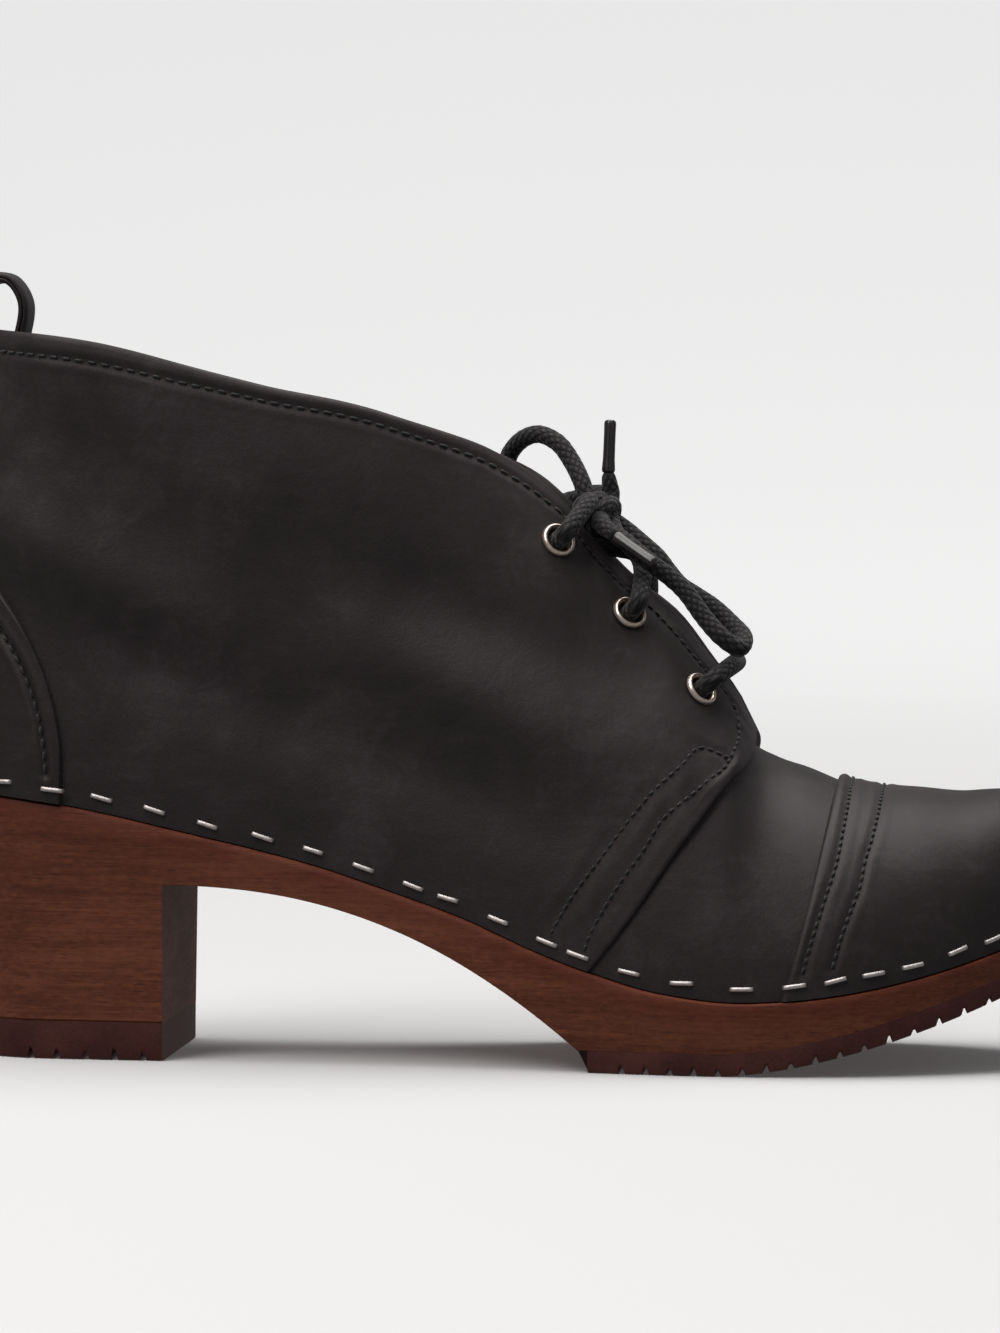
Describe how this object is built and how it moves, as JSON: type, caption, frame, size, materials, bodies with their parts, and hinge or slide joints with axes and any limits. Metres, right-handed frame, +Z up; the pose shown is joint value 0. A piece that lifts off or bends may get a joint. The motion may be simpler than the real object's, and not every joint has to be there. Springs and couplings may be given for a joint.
{
  "type": "clog boot",
  "caption": "Right lace-up clog ankle boot: black leather upper stapled to a one-piece wooden sole with a block heel, toe cap, counter and laces tied in a bow.",
  "frame": {"origin": "centre of the tread under the heel, on the floor", "axes": "+X towards the toe, +Y towards the inner side of the foot, +Z up"},
  "size_m": [0.2588, 0.0921, 0.1751],
  "materials": {
    "wood": "stained brown, satin",
    "tread_rubber": "dark burgundy brown, matte",
    "nubuck": "black oiled nubuck with a soft nap",
    "tongue_leather": "black, matte",
    "eyelet_metal": "pale rose, satin",
    "lace": "round black braid",
    "aglet": "black, glossy"
  },
  "bodies": {
    "root": {"sole": "wood", "outsole_heel": "tread_rubber", "outsole_front": "tread_rubber", "upper": "nubuck", "toe_cap": "nubuck", "heel_counter": "nubuck", "tongue": "tongue_leather", "pull_loop": "nubuck", "eyelet_lateral_1": "eyelet_metal", "eyelet_lateral_2": "eyelet_metal", "eyelet_lateral_3": "eyelet_metal", "eyelet_medial_1": "eyelet_metal", "eyelet_medial_2": "eyelet_metal", "eyelet_medial_3": "eyelet_metal", "lace_bar": "lace", "lace_under": "lace", "lace_cross": "lace", "lace_knot": "lace", "lace_loop_back": "lace", "lace_loop_front": "lace", "lace_end_back": "lace", "lace_end_front": "lace", "aglet_back": "aglet", "aglet_front": "aglet"}
  },
  "joints": []
}
